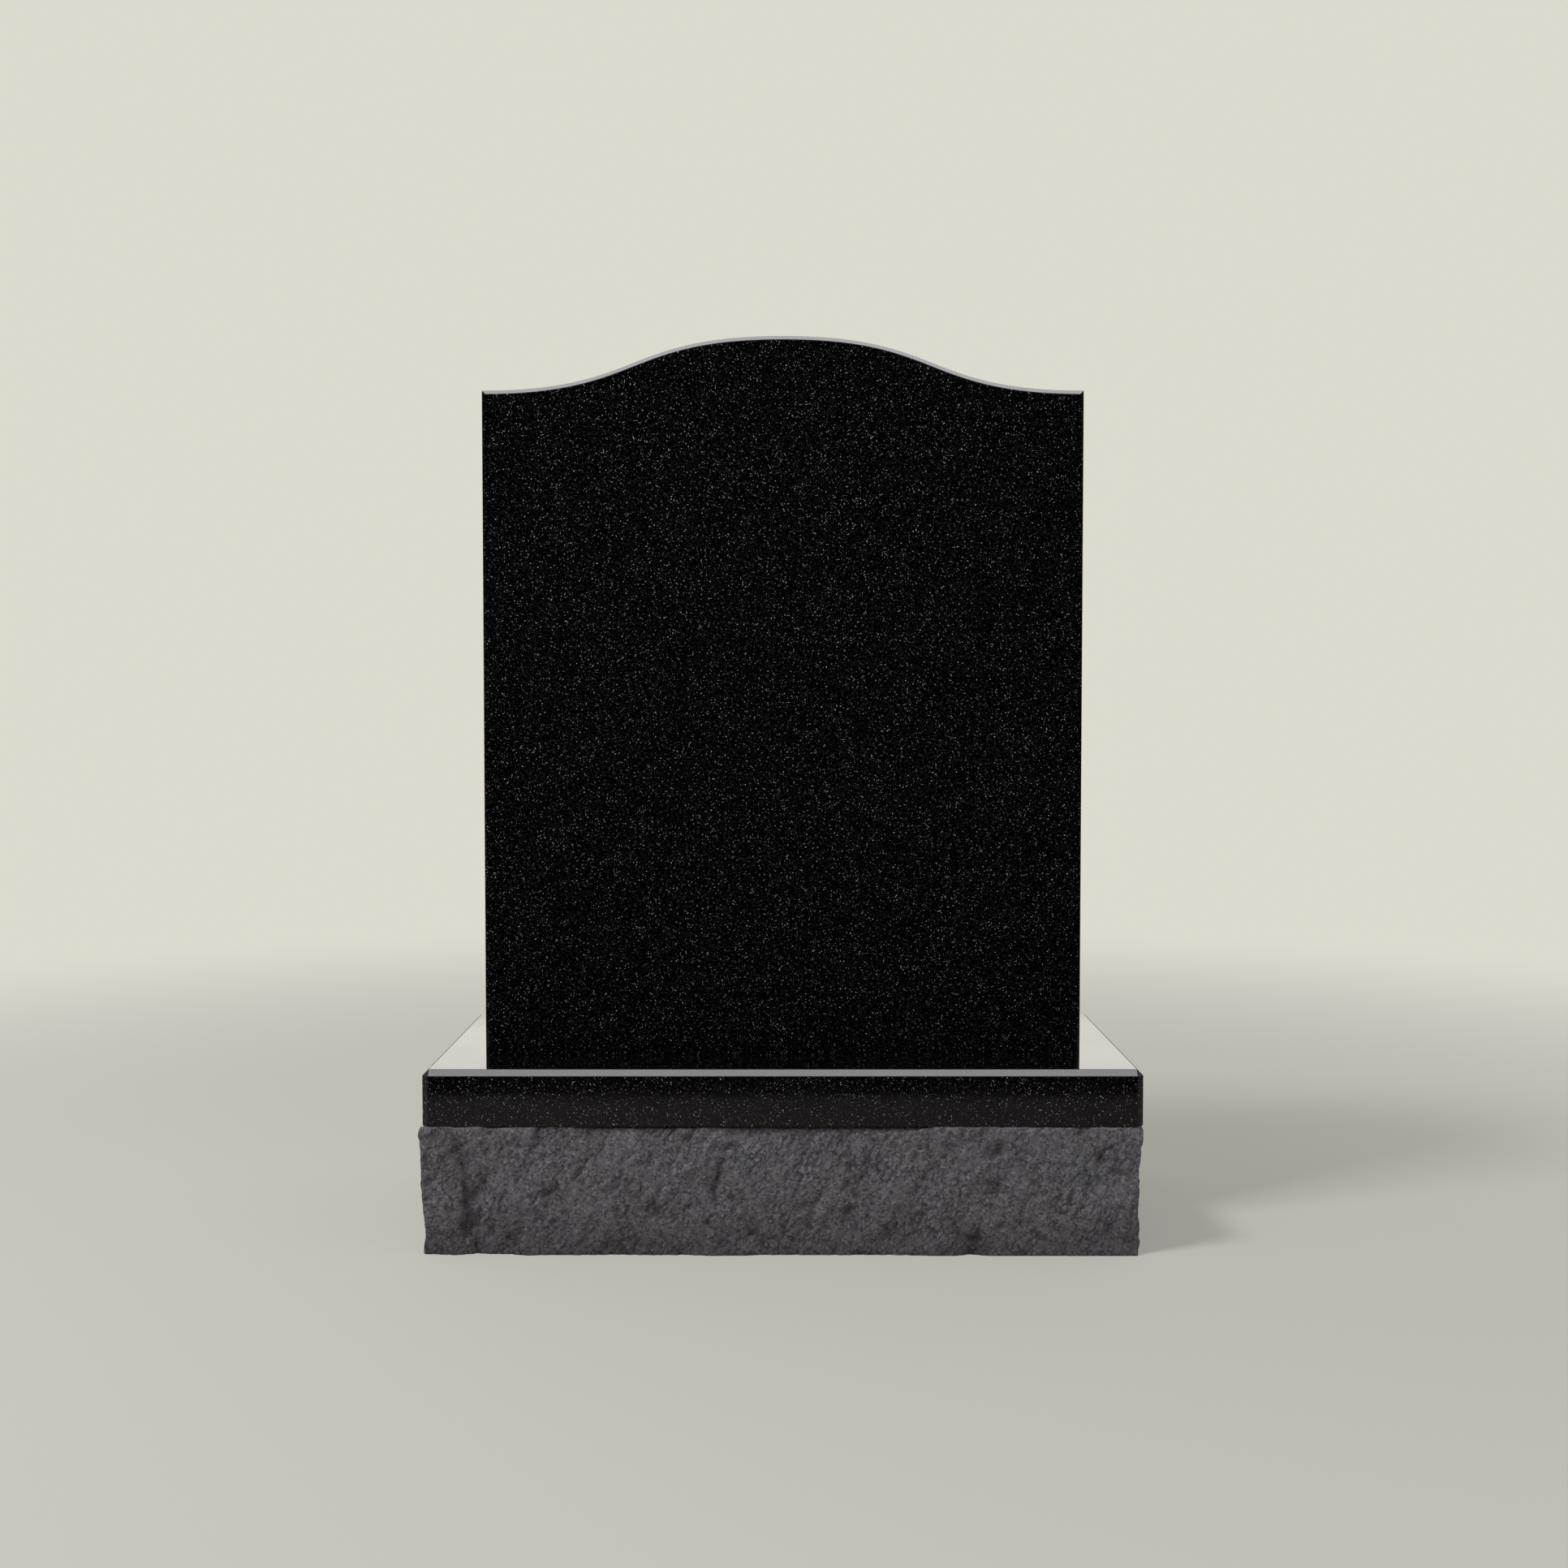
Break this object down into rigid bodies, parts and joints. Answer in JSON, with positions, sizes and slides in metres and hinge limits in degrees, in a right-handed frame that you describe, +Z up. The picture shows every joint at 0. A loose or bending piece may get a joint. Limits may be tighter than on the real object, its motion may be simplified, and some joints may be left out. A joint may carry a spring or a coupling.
{
  "type": "headstone",
  "caption": "Upright headstone: a polished black granite tablet with a serpentine top, on a polished plinth and a rock-pitched base, standing by its own weight.",
  "frame": {"origin": "centre of the underside, where the rock base's sawn bed meets the ground", "axes": "+Z up, -Y out of the polished front face towards the viewer, +X to the viewer's right"},
  "size_m": [0.712, 0.352, 0.9],
  "materials": {
    "tablet_granite": "mirror polished black granite with fine pale flecks",
    "plinth_granite": "mirror polished black granite with fine pale flecks",
    "rock_base_granite": "rock-pitched dark grey granite, matt and rough, with sawn beds"
  },
  "bodies": {
    "root": {"tablet": "tablet_granite", "plinth": "plinth_granite", "rock_base": "rock_base_granite"}
  },
  "joints": []
}
